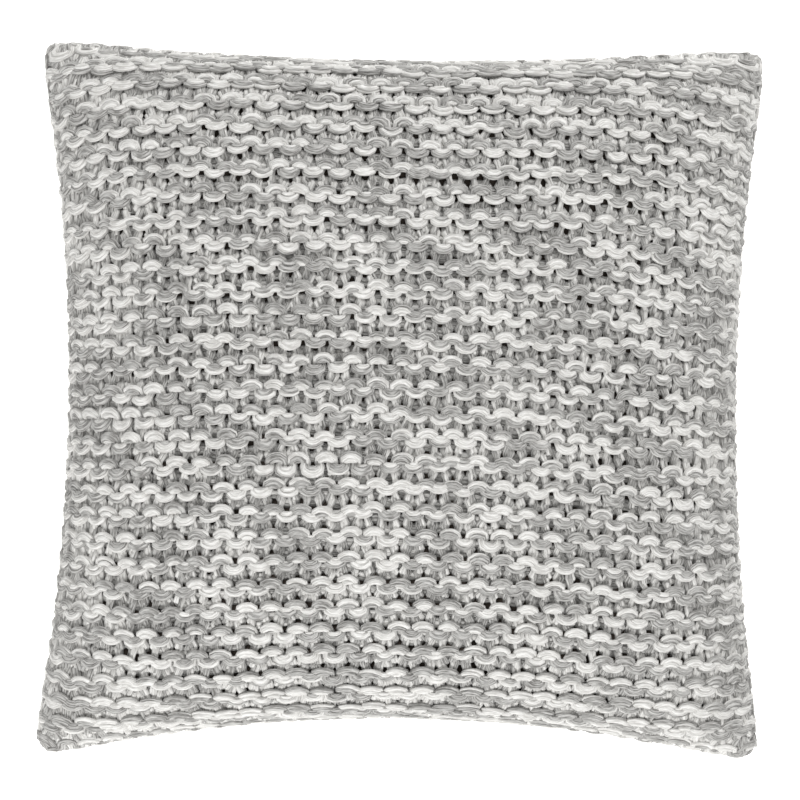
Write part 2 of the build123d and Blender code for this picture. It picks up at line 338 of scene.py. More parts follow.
def fill_the_net():
    """Cloth simulation of the closed net. Gives the front and the back grid, (GRID, GRID, 3) each."""
    points = np.concatenate([front_start.reshape(-1, 3), back_start[inner]])
    cut_grid = np.stack([flat_u * CUT / 2, flat_v * CUT / 2, 0 * flat_u + RIM], -1)
    cut_points = np.concatenate([cut_grid.reshape(-1, 3), cut_grid[inner]])
    faces = np.concatenate([quads(front_index), quads(back_index)[:, ::-1]])
    mesh = bpy.data.meshes.new("net")
    mesh.from_pydata(points.tolist(), [], faces.tolist())
    net = bpy.data.objects.new("net", mesh)
    bpy.context.scene.collection.objects.link(net)
    net.shape_key_add(name="start")
    cut_key = net.shape_key_add(name="cut")
    cut_key.data.foreach_set("co", cut_points.astype(np.float32).ravel())
    cut_key.value = 0
    seam = net.vertex_groups.new(name="seam")
    held = np.concatenate([front_index[~inner], back_index[taped]])
    seam.add(np.unique(held).tolist(), 1.0, "REPLACE")
    cloth = net.modifiers.new("filling", "CLOTH")
    cloth.collision_settings.use_collision = False
    settings = cloth.settings
    settings.quality = 8
    settings.mass = 0.3
    settings.tension_stiffness = settings.compression_stiffness = 20
    settings.shear_stiffness = 3
    settings.bending_stiffness = 1.0
    settings.air_damping = 3
    settings.vertex_group_mass = "seam"
    settings.use_pressure = True
    settings.uniform_pressure_force = PRESSURE
    settings.effector_weights.gravity = 0
    settings.rest_shape_key = cut_key
    for step in range(1, CLOTH_FRAMES + 1):
        bpy.context.scene.frame_set(step)
    filled = net.evaluated_get(bpy.context.evaluated_depsgraph_get()).data
    result = np.empty(len(points) * 3, np.float32)
    filled.vertices.foreach_get("co", result)
    result = result.reshape(-1, 3).astype(float)
    bpy.context.scene.frame_set(1)
    bpy.data.objects.remove(net)
    return result[front_index], result[back_index]


front_form, back_form = fill_the_net()
print("filled front is", round((front_form[..., 2].max() - RIM) / MM, 1), "mm high over the seam")

# %% [markdown]
# The simulation decides the shape, and the frame decides the size. The front's middle is brought to
# the height of the knit's inner face, and the back is pressed flat on the floor where it reaches it.

# %% Bring the form to the frame's heights
KNIT_THICKNESS = 12 * MM
CROWN = cad_box[1].z
PRESS = 3 * MM
PRESS_EASE = 1.2 * MM

front_rise = (CROWN - KNIT_THICKNESS - RIM) / (front_form[..., 2].max() - RIM)
front_form[..., 2] = RIM + (front_form[..., 2] - RIM) * front_rise
back_fall = (RIM + PRESS) / (RIM - back_form[..., 2].min())
back_form[..., 2] = RIM - (RIM - back_form[..., 2]) * back_fall
back_form[..., 2] = PRESS_EASE * np.log1p(np.exp(back_form[..., 2] / PRESS_EASE))
back_form[..., 2] -= back_form[..., 2].min()


def normals_of(grid):
    """Unit normals of a grid of points, on its +Z side: the cross product of its two directions."""
    along_rows, along_columns = np.gradient(grid, axis=1), np.gradient(grid, axis=0)
    normal = np.cross(along_rows, along_columns)
    return normal / np.linalg.norm(normal, axis=-1, keepdims=True)


front_normal, back_normal = normals_of(front_form), -normals_of(back_form)

# %% [markdown]
# A stitch is only two cells of the net wide. These functions read a grid smoothly at any place of the
# flat cloth, so that whatever is laid out flat lands where the cloth went.

# %% Read the form between its points
CELL = CUT / (GRID - 1)


def sample(grid, column, row):
    """Smooth value of a grid between its points, by the Catmull-Rom cubic in both directions."""
    size = grid.shape[0]
    edge_rows = np.concatenate([2 * grid[:1] - grid[1:2], grid, 2 * grid[-1:] - grid[-2:-1]])
    first, last = edge_rows[:, :1], edge_rows[:, -1:]
    padded = np.concatenate(
        [2 * first - edge_rows[:, 1:2], edge_rows, 2 * last - edge_rows[:, -2:-1]], axis=1
    )
    just_inside = size - 1 - 1e-6
    column, row = np.clip(column, 0, just_inside), np.clip(row, 0, just_inside)
    near_column, near_row = column.astype(int), row.astype(int)

    def weights(f):
        return (
            (-f + 2 * f**2 - f**3) / 2,
            (2 - 5 * f**2 + 3 * f**3) / 2,
            (f + 4 * f**2 - 3 * f**3) / 2,
            (-(f**2) + f**3) / 2,
        )

    total = 0
    for i, row_weight in enumerate(weights(row - near_row)):
        for j, column_weight in enumerate(weights(column - near_column)):
            corner = padded[near_row + i, near_column + j]
            total = total + (row_weight * column_weight)[..., None] * corner
    return total


def on_cloth(grid, x, y):
    """Sample a grid at x, y metres on the flat cut panel, measured from its middle."""
    middle = (grid.shape[0] - 1) / 2
    return sample(grid, x / CELL + middle, y / CELL + middle)


def unit(vectors):
    """Vectors scaled to length 1."""
    return vectors / np.linalg.norm(vectors, axis=-1, keepdims=True)


def within(value, limit, ease):
    """Keep values between -limit and limit, easing in. The room left to the limit becomes
    ease * log(1 + e ** (room / ease))."""
    room = ease * np.log1p(np.exp((limit - np.abs(value)) / ease))
    return np.sign(value) * (limit - room)


# %% [markdown]
# ## Tubes
#
# Yarn, thread and the zip's nylon coil are all long thin tubes that follow a path. One function makes
# many at once: at each step of each path it places an oval ring, with its wide way along the cloth.

# %% Tube helper
def tubes(centres, side, up, wide, thick, sides, pitch=1.0):
    """Closed tubes along paths. centres, side and up are (paths, steps, 3), wide and thick are radii.
    Each ring is centre + wide * cos(a) * side + thick * sin(a) * up. Gives points, faces and UVs."""
    angle = np.arange(sides) * 2 * np.pi / sides
    ring = centres[:, :, None] + (wide[..., None] * np.cos(angle))[..., None] * side[:, :, None]
    ring = ring + (thick[..., None] * np.sin(angle))[..., None] * up[:, :, None]
    paths, steps = centres.shape[:2]
    index = np.arange(paths * steps * sides).reshape(paths, steps, sides)
    near, far = index[:, :-1], index[:, 1:]
    walls = np.stack([near, np.roll(near, -1, 2), np.roll(far, -1, 2), far], -1)
    travel = np.linalg.norm(np.diff(centres, axis=1), axis=-1)
    along = np.concatenate([np.zeros((paths, 1)), np.cumsum(travel, axis=1)], 1) / pitch
    start = np.broadcast_to(along[:, :-1, None], near.shape)
    end = np.broadcast_to(along[:, 1:, None], near.shape)
    turn = np.broadcast_to(np.arange(sides) / sides, near.shape)
    more = turn + 1 / sides
    corners = [(start, turn), (start, more), (end, more), (end, turn)]
    wall_uv = np.stack([np.stack(corner, -1) for corner in corners], -2)
    caps = np.concatenate([index[:, 0, ::-1], index[:, -1]])
    cap_uv = np.broadcast_to(np.stack([0 * angle, angle / 2 / np.pi], -1), (len(caps), sides, 2))
    return ring.reshape(-1, 3), [walls.reshape(-1, 4), caps], [wall_uv.reshape(-1, 4, 2), cap_uv]


def path_frame(centres, normal):
    """Side and up directions of paths on a surface: side = normal x forward, up = forward x side."""
    forward = unit(np.gradient(centres, axis=1))
    side = unit(np.cross(normal, forward))
    return side, np.cross(forward, side)


def wander(amount, every):
    """Smooth random curve for each row: a new value every so many stitches, eased in between."""
    values = random.normal(0, amount, (ROWS, int(position.max() / every) + 3))
    place = position / every
    near = place.astype(int)
    ease = smoothstep(place - near)
    return values[:, near] * (1 - ease) + values[:, near + 1] * ease


# %% [markdown]
# ## Cotton roving, low twist
#
# The yarn is soft spun cotton with little twist, so its fibres lie nearly along it. Fine lines run
# along each end, and there is no shine. The lines are relief and colour together: their darker tone is
# partly the fibres' own mixed shades and partly painted shade between the fibre bundles. The fibres are
# finer than can be drawn, so the lines are as coarse as small bundles of them, under a millimetre wide.
# The pattern follows the yarn through the tube's own UV: centimetres along, turns across.

# %% Yarn materials
YARN_UV = 10 * MM
FIBRE_LINES = 11
FIBRE_STRETCH = 1.2
FIBRE_DARK = 0.38
FIBRE_PALE = 0.60


def cotton_yarn(name, pale, dark):
    """Matt cotton whose colour runs between two tones in fine lines along the yarn. The darker tone falls
    where the relief sinks: partly the fibres' own tone, partly painted shade between fibre bundles.
    """
    material, shader = new_material(name, Roughness=0.92, IOR=1.53, Sheen_Weight=0.25, Sheen_Roughness=0.5)
    place = add_node(material, "ShaderNodeTexCoord").outputs["UV"]
    inputs = {"Vector": place, "Scale": (FIBRE_STRETCH, FIBRE_LINES, 1)}
    stretched = add_node(material, "ShaderNodeMapping", inputs).outputs["Vector"]
    lines = add_noise(material, stretched, 1.0, 3, 0.65)
    inputs = {"Value": lines, "From Min": FIBRE_DARK, "From Max": FIBRE_PALE}
    spread = add_node(material, "ShaderNodeMapRange", inputs).outputs["Result"]
    # Colour follows the relief's lines: darker in its hollows, partly painted shade between fibre bundles.
    add_tone(material, shader, spread, dark, pale)
    add_relief(material, shader, lines, 0.9, 0.6 * MM)
    return material


white_cotton = cotton_yarn("cotton roving, low twist, white", "#E6E5E2", "#B9B7B3")
grey_cotton = cotton_yarn("cotton roving, low twist, grey", "#C3C2BF", "#6B6966")

# %% [markdown]
# ## Garter stitch
#
# Garter stitch is rows of knit loops that face the front and the back by turns. Along a row the yarn
# goes up over a head, down a leg, under a foot and up again, so its path is a wave that leans back
# over itself. A head lies over the row above and a foot over the row below, so rows come in pairs: a
# ridge where heads and feet stand out, and a furrow where only legs show. In words, for a share t of
# a stitch: across = stitch * t + lean * sin(2t), up = row + reach * cos(t), and
# out = +-lift * cos(3t) + ridge * sin(up). Near the top and bottom the knit is slack: its heads are
# flatter and its ends wider. Over the crown it is stretched, and its legs are thinner. Four ends run
# side by side along the path and slowly twist round each other, which is why some heads are white,
# some grey, and most are both.

# %% Knitting gauge
STITCHES = 31
ROWS = 62
TURN_IN = 5 * MM
KNIT_REACH = CUT / 2 + TURN_IN
STEPS = 16
CROWDING = 0.03
ENDS = 4
YARN_SIDES = 6
STITCH = 2 * KNIT_REACH / STITCHES
REACH = 0.425 * STITCH
ROW = 2 * (KNIT_REACH - REACH) / (ROWS - 1)
LEAN = 0.172 * STITCH
TUCK = 0.34
LOOSE_LEAN = 0.2 * STITCH
LOOSE_FLATNESS = 0.5
LOOSE_WIDE = 0.12
LOOSE_FADE = 85 * MM
LIFT = 2.1 * MM
RIDGE = 1.4 * MM
END_WIDE = 1.8 * MM
END_THICK = 1.22 * MM
BUNDLE_WIDE = 1.95 * MM
BUNDLE_THICK = 0.9 * MM
TWIST_STITCHES = 5.5
print("stitch", round(STITCH / MM, 2), "mm, row", round(ROW / MM, 2), "mm")

# %% [markdown]
# The knit is too thick to end in a sharp edge at the seam: it rolls over it and is sewn on from below.
# So its inner face stands a little higher than the seam, and its grid gets one more ring of points,
# which turns inwards under the edge. Rows and stitches run on round that turn.

# %% The knit's inner face, with its turned-in edge
ROLL = 4.8 * MM
ROLL_FADE = 30 * MM


def with_border(grid, inset, level):
    """A grid with one more ring of points round it, at an inset from the outline and at a level."""
    share = np.linspace(-1, 1, len(grid) + 2)
    border_u, border_v = np.meshgrid(share, share)
    x, y = plan(border_u, border_v, inset)
    wider = np.stack([x, y, level + 0 * x], -1)
    wider[1:-1, 1:-1] = grid
    return wider


rolled = front_form.copy()
rolled[..., 2] += ROLL * (1 - smoothstep((rolled[..., 2] - RIM) / ROLL_FADE))
knit_form = with_border(rolled, SEAM_INSET + CELL, RIM + ROLL)
knit_normal = normals_of(knit_form)
print("inner face reaches", round((knit_form[..., 2].max() - RIM) / MM, 1), "mm over the seam")

# %% [markdown]
# Each row is laid out flat and then on the form. No two loops are knitted alike, so its path wanders.

# %% Path of every row on the flat panel, then on the form
SHIFT_EVERY = 0.5
SHIFT_ACROSS = 0.75 * MM
SHIFT_UPWARD = 0.45 * MM
SHIFT_OUTWARD = 0.3 * MM
SAG = 0.6 * MM
SAG_EVERY = 6.0
UNEVEN_REACH = 0.08
SEAM_LIFT = 0.12
KNIT_MIDDLE = 5.8 * MM
SEAM_MIDDLE = 3.2 * MM
SEAM_FADE = 30 * MM
EDGE_EASE = 1.2 * MM
SEAM_FLOOR = RIM + 0.3 * MM
SLIMMING = 0.48
EDGE_SLIMMING = -0.16
STRETCH_FADE = 110 * MM

even = np.arange(STITCHES * STEPS + 1) / STEPS
position = even - CROWDING * np.sin(4 * np.pi * even)
phase = 2 * np.pi * (position - np.floor(position)) - np.pi
row_number = np.arange(ROWS)[:, None]
facing = np.where(row_number % 2 == 0, 1.0, -1.0)
row_middle = row_number * ROW + REACH - KNIT_REACH
looseness = 1 - smoothstep((KNIT_REACH - np.abs(row_middle)) / LOOSE_FADE)
flatness = LOOSE_FLATNESS * looseness
wave = (1 - flatness) * np.cos(phase) + flatness * np.sin(np.pi / 2 * np.cos(phase))
lean = LEAN + (LOOSE_LEAN - LEAN) * looseness
stitch_reach = REACH * (1 + wander(UNEVEN_REACH, 1.0))
across = STITCH * position + lean * np.sin(2 * phase) - KNIT_REACH
upward = row_middle + stitch_reach * wave
tucked = phase - TUCK * np.sin(2 * phase)
outward = facing * LIFT * np.cos(3 * tucked) + RIDGE * np.sin(np.pi * (upward + KNIT_REACH - REACH) / ROW)
across = across + wander(SHIFT_ACROSS, SHIFT_EVERY)
upward = upward + wander(SHIFT_UPWARD, SHIFT_EVERY)
upward = upward + wander(SAG, SAG_EVERY)
outward = outward + wander(SHIFT_OUTWARD, SHIFT_EVERY)
across = within(across, KNIT_REACH, EDGE_EASE)
upward = within(upward, KNIT_REACH, EDGE_EASE)

to_seam = KNIT_REACH - np.maximum(np.abs(across), np.abs(upward))
fullness = smoothstep(to_seam / SEAM_FADE)
height = SEAM_MIDDLE + (KNIT_MIDDLE - SEAM_MIDDLE) * fullness
height = height + outward * (SEAM_LIFT + (1 - SEAM_LIFT) * fullness)
surface = on_cloth(knit_form, across, upward)
surface_normal = unit(on_cloth(knit_normal, across, upward))
row_paths = surface + surface_normal * height[..., None]
side, up = path_frame(row_paths, surface_normal)
yarn_length = np.linalg.norm(np.diff(row_paths, axis=1), axis=-1).sum()
print("yarn in the rows:", round(yarn_length, 1), "m")

# %% [markdown]
# The four ends lie a quarter turn apart round the row's path, in a bundle wider than it is thick. Each
# thins out where the row reaches the side seam.

# %% Four ends along every row
UNEVEN_TWIST = 0.9
UNEVEN_PLACE = 0.2
UNEVEN_SIZE = 0.09
TAPER = 0.35
TAPER_FADE = 3 * MM
TAPER_START = 0.2

twist = 2 * np.pi * (random.random((ROWS, 1)) + position / TWIST_STITCHES)
twist = twist + wander(UNEVEN_TWIST, 1.0)
taper = smoothstep((KNIT_REACH - np.abs(across)) / TAPER_FADE - TAPER_START)
taper = TAPER + (1 - TAPER) * taper
slimming = EDGE_SLIMMING + (SLIMMING - EDGE_SLIMMING) * smoothstep(to_seam / STRETCH_FADE)
slim = taper * (1 - slimming * np.sin(phase) ** 4) * (1 + LOOSE_WIDE * looseness)
ends = []
for number in range(ENDS):
    angle = twist + number * 2 * np.pi / ENDS + wander(UNEVEN_PLACE, 0.7)
    centres = row_paths + side * (BUNDLE_WIDE * np.cos(angle) * slim)[..., None]
    centres = centres + up * (BUNDLE_THICK * np.sin(angle) * taper)[..., None]
    size = 1 + wander(UNEVEN_SIZE, 0.6)
    ends.append((centres, size * slim * END_WIDE, size * taper * END_THICK))

BANDS = 4
band_edges = np.linspace(0, ROWS, BANDS + 1).astype(int)
for band, (first, last) in enumerate(zip(band_edges[:-1], band_edges[1:]), 1):
    for colour, material, pair in (("white", white_cotton, ends[:2]), ("grey", grey_cotton, ends[2:])):
        rows = slice(first, last)
        centres = np.concatenate([end[0][rows] for end in pair])
        wide = np.concatenate([end[1][rows] for end in pair])
        thick = np.concatenate([end[2][rows] for end in pair])
        both_sides, both_ups = np.concatenate([side[rows]] * 2), np.concatenate([up[rows]] * 2)
        points, faces, uvs = tubes(centres, both_sides, both_ups, wide, thick, YARN_SIDES, YARN_UV)
        points[:, 2] = np.maximum(points[:, 2], SEAM_FLOOR)
        name = f"knit_{colour}_ends_{band}"
        piece = new_piece(name, points, faces, uvs, material, "knit_yarn", ["knit_front_panel"])

# %% [markdown]
# The knitter leaves a tail of yarn at each corner and sews it in. It lies across the corner, under
# the last stitches, and closes the small hole they leave there.

# %% Sewn-in tails at the corners
TAIL_PLACES = (4 * MM, 8 * MM, 12 * MM)
TAIL_HEIGHT = 2.4 * MM
TAIL_WIDE = 2.6 * MM
TAIL_THICK = 1.4 * MM
TAIL_SHARE = 0.95
TAIL_STEPS = 15
TAIL_SIDES = 8

tail_across = []
tail_upward = []
for side_x, side_y in ((-1, -1), (1, -1), (1, 1), (-1, 1)):
    for place in TAIL_PLACES:
        slant = np.linspace(-TAIL_SHARE, TAIL_SHARE, TAIL_STEPS) * place
        tail_across.append(side_x * (KNIT_REACH - place + slant))
        tail_upward.append(side_y * (KNIT_REACH - place - slant))
tail_across, tail_upward = np.array(tail_across), np.array(tail_upward)
tail_normal = unit(on_cloth(knit_normal, tail_across, tail_upward))
tail_paths = on_cloth(knit_form, tail_across, tail_upward) + tail_normal * TAIL_HEIGHT
tail_side, tail_up = path_frame(tail_paths, tail_normal)
tail_wide = np.full(tail_across.shape, TAIL_WIDE)
tail_thick = np.full(tail_across.shape, TAIL_THICK)
points, faces, uvs = tubes(tail_paths, tail_side, tail_up, tail_wide, tail_thick, TAIL_SIDES, YARN_UV)
points[:, 2] = np.maximum(points[:, 2], SEAM_FLOOR)
tails = new_piece("knit_corner_tails", points, faces, uvs, grey_cotton, "knit_yarn", ["knit_front_panel"])

# %% [markdown]
# ## Sheets with a thickness
#
# Lining, canvas, ticking and labels are cloth, cut flat and closed round their edges. Each is a grid
# of points on its outer face and the same grid moved inwards by its thickness.

# %% Sheet helper
def closed_sheet(outer, inner_side, flat_uv, faces_up=True):
    """Points, faces and UVs of a closed sheet between two grids, joined all round their borders."""
    rows, columns = outer.shape[:2]
    count = rows * columns
    index = np.arange(count).reshape(rows, columns)
    border = np.concatenate([index[0, :-1], index[:-1, -1], index[-1, :0:-1], index[:0:-1, 0]])
    after = np.roll(border, -1)
    rim_faces = np.stack([after, border, border + count, after + count], -1)
    faces = np.concatenate([quads(index), quads(index + count)[:, ::-1], rim_faces])
    if not faces_up:
        faces = faces[:, ::-1]
    uv = np.concatenate([flat_uv.reshape(-1, 2)] * 2)
    return np.concatenate([outer.reshape(-1, 3), inner_side.reshape(-1, 3)]), [faces], [uv[faces]]


def flat_grid(size):
    """Flat places x, y of a square grid over the cut panel, with size points each way."""
    places = np.linspace(-CUT / 2, CUT / 2, size)
    return np.stack(np.meshgrid(places, places), -1)


SLUB_SCALE = 0.12


def woven(name, pale, dark, thread, strength, **inputs):
    """Plain weave: bands along and across by turns on a checkerboard, each thread rounded by a bump.
    Each thread's colour darkens towards its edges with the bump, which is painted shade between the
    threads; the slubs darken it in random patches. A wave texture of scale pi / 10 gives one wave a thread."""
    material, shader = new_material(name, **inputs)
    place = add_node(material, "ShaderNodeTexCoord").outputs["UV"]
    inputs = {"Vector": place, "Scale": (1 / thread, 1 / thread, 1)}
    cloth = add_node(material, "ShaderNodeMapping", inputs).outputs["Vector"]
    over = add_node(material, "ShaderNodeTexChecker", {"Vector": cloth, "Scale": 1.0})
    inputs = {"Vector": cloth, "Scale": np.pi / 10, "Distortion": 0.0}
    warp = add_node(material, "ShaderNodeTexWave", inputs, bands_direction="X", wave_profile="SIN")
    weft = add_node(material, "ShaderNodeTexWave", inputs, bands_direction="Y", wave_profile="SIN")
    inputs = {"Factor": over.outputs["Fac"], "A": warp.outputs["Fac"], "B": weft.outputs["Fac"]}
    threads = add_node(material, "ShaderNodeMix", inputs).outputs["Result"]
    slubs = add_noise(material, cloth, SLUB_SCALE, 4, 0.7)
    weave = add_node(material, "ShaderNodeMath", {0: threads, 1: slubs}, operation="MULTIPLY")
    # Colour follows the bump: darker between threads is painted shade, the slubs are the yarn's own
    # unevenness.
    add_tone(material, shader, weave.outputs["Value"], dark, pale)
    add_relief(material, shader, weave.outputs["Value"], strength, thread / 3)
    return material


# %% [markdown]
# ## Lining
#
# A knit this open would show the white insert through its slits, so the maker lines it with cotton.
# The lining's dark brown-grey is painted shade: it stands in for the shadow deep in the slits, and
# it is what makes the slits dark.

# %% Lining
CLOTH_GAP = 0.25 * MM
LINING_THICKNESS = 0.6 * MM
LINING_POINTS = 121
ALLOWANCE_INSET = 9.8 * MM

# Dark brown-grey lining colour: painted shade for the shadow in the slits between the stitches.
lining_cotton = woven(
    "cotton sheeting, plain weave, piece-dyed brown", "#51473F", "#39312B", 0.6 * MM, 0.5, Roughness=0.95
)
lining_flat = flat_grid(LINING_POINTS)
lining_surface = on_cloth(knit_form, lining_flat[..., 0], lining_flat[..., 1])
lining_normal = unit(on_cloth(knit_normal, lining_flat[..., 0], lining_flat[..., 1]))
lining_outer = lining_surface - CLOTH_GAP * lining_normal
lining_inner = lining_outer - LINING_THICKNESS * lining_normal

lining_outer[..., 2] = np.maximum(lining_outer[..., 2], SEAM_FLOOR)
lining_inner[..., 2] = np.maximum(lining_inner[..., 2], SEAM_FLOOR + LINING_THICKNESS)
lining_outer = with_border(lining_outer, ALLOWANCE_INSET, SEAM_FLOOR)
lining_inner = with_border(lining_inner, ALLOWANCE_INSET, SEAM_FLOOR + LINING_THICKNESS)
lining_flat = flat_grid(LINING_POINTS + 2)
shape = closed_sheet(lining_outer, lining_inner, lining_flat)
lining = new_piece("lining", *shape, lining_cotton, "lining_cotton", ["front_lining"])

# %% [markdown]
# ## Places along a side
#
# The zip, the labels and the sewing all follow a side of the pillow, so they share one function that
# gives the place at a distance along the side, an inset from the outline and a height.

# %% Places along a side
SIDE_ENDS = {
    "bottom": ("bottom_right", "bottom_left"),
    "left": ("bottom_left", "top_left"),
    "right": ("top_right", "bottom_right"),
    "top": ("top_left", "top_right"),
}


def side_circle(side_name):
    """Centre x, y and radius of a side's bow: radius = chord^2 / 8 bow + bow / 2, centre outside."""
    (x1, y1), (x2, y2) = (CORNERS[corner] for corner in SIDE_ENDS[side_name])
    bow = BOW[side_name]
    chord = math.hypot(x2 - x1, y2 - y1)
    radius = chord**2 / (8 * bow) + bow / 2
    centre_x = (x1 + x2) / 2 + (y1 - y2) / chord * (radius - bow)
    centre_y = (y1 + y2) / 2 + (x2 - x1) / chord * (radius - bow)
    return centre_x, centre_y, radius


def along_side(side_name, along, inset, level):
    """Points on a side's circle moved in by the inset, at an angle from the side's middle of
    along / radius."""
    centre_x, centre_y, radius = side_circle(side_name)
    angle = math.atan2(-centre_y, -centre_x) - along / (radius + CHAIN_INSET)
    reach = radius + inset
    x, y, z = np.broadcast_arrays(centre_x + reach * np.cos(angle), centre_y + reach * np.sin(angle), level)
    return np.stack([x, y, z], -1)


def side_inset(side_name, points):
    """How far points lie inside a side's bowed outline: their distance from the circle's centre less
    its radius."""
    centre_x, centre_y, radius = side_circle(side_name)
    return np.hypot(points[..., 0] - centre_x, points[..., 1] - centre_y) - radius


CHAIN_INSET = 8.8 * MM
CHAIN_HEIGHT = RIM - 5.3 * MM

# %% [markdown]
# ## Back panel
#
# The back is natural cotton canvas. Along the bottom side its edge is turned in below the zip, which
# leaves a gap for the coils, and near every seam the sewing draws it into small puckers. Its shape is
# the simulated form, with short waves along the seam that die out within a few centimetres.

# %% Back panel
BACK_POINTS = 181
BACK_THICKNESS = 1.2 * MM
GAP_BOTTOM = RIM - 10.6 * MM
GAP_REACH = 176 * MM
GAP_EASE = 6 * MM
PUCKER = 0.7 * MM
PUCKER_LENGTH = 13 * MM
PUCKER_FADE = 16 * MM
TAB_ROOM = 6.5 * MM
ROOM_REACH = 212 * MM
ROOM_FADE = 16 * MM
ROOM_BOTTOM = 34 * MM
ROOM_EASE = 16 * MM
STRIP_CELLS = 3
STRIP_POINTS = 61
PUCKER_START = 4 * MM
PUCKER_FLOOR = 6 * MM
TAPE_EASE = 10 * MM
TAPE_HOLD = 10 * MM
TAPE_HOLD_FADE = 15 * MM
TAPE_CALM = 0.8

canvas = woven(
    "cotton canvas, plain weave, natural", "#E2DED4", "#BDB8AC", 0.9 * MM, 0.8,
    Roughness=0.9, Sheen_Weight=0.1,
)
canvas_flat = flat_grid(BACK_POINTS)
flat_x, flat_y = canvas_flat[..., 0], canvas_flat[..., 1]
bottom_strip = np.linspace(0, STRIP_CELLS, STRIP_POINTS)
strip_x = np.broadcast_to(flat_x[:1], (STRIP_POINTS, BACK_POINTS))
strip = on_cloth(back_form, strip_x, bottom_strip[:, None] * CELL - CUT / 2)
below_gap = np.abs(strip[..., 2] - GAP_BOTTOM).argmin(0)
hem_start = bottom_strip[below_gap] * CELL
hem_start = hem_start * smoothstep((GAP_REACH - np.abs(strip[0, :, 0])) / GAP_EASE + 1)
bottom_share = (CUT / 2 - flat_y) / CUT
canvas_y = flat_y + hem_start * bottom_share
canvas_surface = on_cloth(back_form, flat_x, canvas_y)
canvas_normal = unit(on_cloth(back_normal, flat_x, canvas_y))
zip_side = smoothstep((ROOM_REACH - np.abs(flat_x)) / ROOM_FADE) * (flat_y < 0)
zip_side = zip_side * smoothstep((canvas_surface[..., 2] - ROOM_BOTTOM) / ROOM_EASE)
missing_room = np.clip(TAB_ROOM - side_inset("bottom", canvas_surface), 0, None) * zip_side
inwards = canvas_surface - np.array([*side_circle("bottom")[:2], 0])
inwards = unit(inwards * np.array([1, 1, 0]))
canvas_surface = canvas_surface + inwards * missing_room[..., None]
side_room, end_room = CUT / 2 - np.abs(flat_x), CUT / 2 - np.abs(flat_y)
seam_room = np.minimum(side_room, end_room)
along_seam = np.where(side_room < end_room, flat_y, flat_x)
pucker_phase = 2 * np.pi * along_seam / PUCKER_LENGTH
for amount, length in ((1.7, 21 * MM), (1.0, 9 * MM)):
    pucker_phase = pucker_phase + amount * np.sin(along_seam / length)
by_seam = np.exp(-seam_room / PUCKER_FADE) * smoothstep(seam_room / PUCKER_START)
above_floor = smoothstep(canvas_surface[..., 2] / PUCKER_FLOOR)
pucker = PUCKER * by_seam * (np.sin(pucker_phase) * above_floor - 1)
on_tape = smoothstep((GAP_REACH - np.abs(flat_x)) / TAPE_EASE) * (flat_y < 0)
on_tape = on_tape * smoothstep(1 - (end_room - TAPE_HOLD) / TAPE_HOLD_FADE)
pucker = pucker * (1 - TAPE_CALM * on_tape)
canvas_outer = canvas_surface + canvas_normal * pucker[..., None]
canvas_outer[..., 2] = np.maximum(canvas_outer[..., 2], 0)
canvas_inner = canvas_outer - canvas_normal * BACK_THICKNESS
shape = closed_sheet(canvas_outer, canvas_inner, canvas_flat, faces_up=False)
back = new_piece("back_canvas", *shape, canvas, "back_cotton", ["back_panel"])

# %% [markdown]
# ## Zip
#
# A coil zip is two woven tapes, each with a spiral of nylon monofilament sewn to its edge, and a
# slider that locks the two spirals together. The spiral is a real one here: a tube that goes round
# every 1.5 mm, seen as a row of fine ribs.

# %% Zip tapes and coils
TAPE_REACH = 180 * MM
COIL_REACH = 169.5 * MM
COIL_PITCH = 1.5 * MM
COIL_STEPS = 10
COIL_SIDES = 5
COIL_WIRE = 0.33 * MM
COIL_OUT = 0.82 * MM
COIL_ACROSS = 1.05 * MM
COIL_CENTRE = 1.87 * MM
TAPE_EDGE = 0.7 * MM
TAPE_WIDTH = 12 * MM
TAPE_DEPTH = 1.2 * MM
TAPE_THICKNESS = 0.6 * MM

zip_tape = woven("polyester tape, twill woven, stone", "#CFCBC2", "#A19D94", 0.5 * MM, 0.6, Roughness=0.75)
zip_nylon, _ = new_material(
    "nylon 6 monofilament, coiled, stone", Base_Color=linear("#C9C5BC"), Roughness=0.38, IOR=1.53
)
tape_along = np.linspace(-TAPE_REACH, TAPE_REACH, 181)
coil_turn = 2 * np.pi * np.arange(int(2 * COIL_REACH / COIL_PITCH) * COIL_STEPS + 1) / COIL_STEPS
coil_along = COIL_PITCH * coil_turn / 2 / np.pi - COIL_REACH
for name, sign in (("front", 1), ("back", -1)):
    tape_across = sign * np.linspace(TAPE_EDGE, TAPE_WIDTH, 9)[:: sign]
    strip_along, strip_across = np.meshgrid(tape_along, tape_across)
    strip_level = CHAIN_HEIGHT + strip_across
    outer = along_side("bottom", strip_along, CHAIN_INSET + TAPE_DEPTH, strip_level)
    back_face = along_side("bottom", strip_along, CHAIN_INSET + TAPE_DEPTH + TAPE_THICKNESS, strip_level)
    shape = closed_sheet(outer, back_face, np.stack([strip_along, strip_across], -1))
    tape = new_piece(f"zip_tape_{name}_woven", *shape, zip_tape, "zip_tape", [f"zip_tape_{name}"])
    out = COIL_OUT * np.cos(coil_turn)
    lift = sign * (COIL_CENTRE + COIL_ACROSS * np.sin(coil_turn))
    wire_along = coil_along + COIL_PITCH / 4 * sign
    wire = along_side("bottom", wire_along, CHAIN_INSET - out, CHAIN_HEIGHT + lift)[None]
    core = along_side("bottom", wire_along, CHAIN_INSET, CHAIN_HEIGHT + sign * COIL_CENTRE)[None]
    wire_side, wire_up = path_frame(wire, unit(wire - core))
    radius = np.full(wire.shape[:2], COIL_WIRE)
    shape = tubes(wire, wire_side, wire_up, radius, radius, COIL_SIDES, YARN_UV)
    new_piece(f"zip_coil_{name}_spiral", *shape, zip_nylon, "zip_nylon", [f"zip_coil_{name}"])

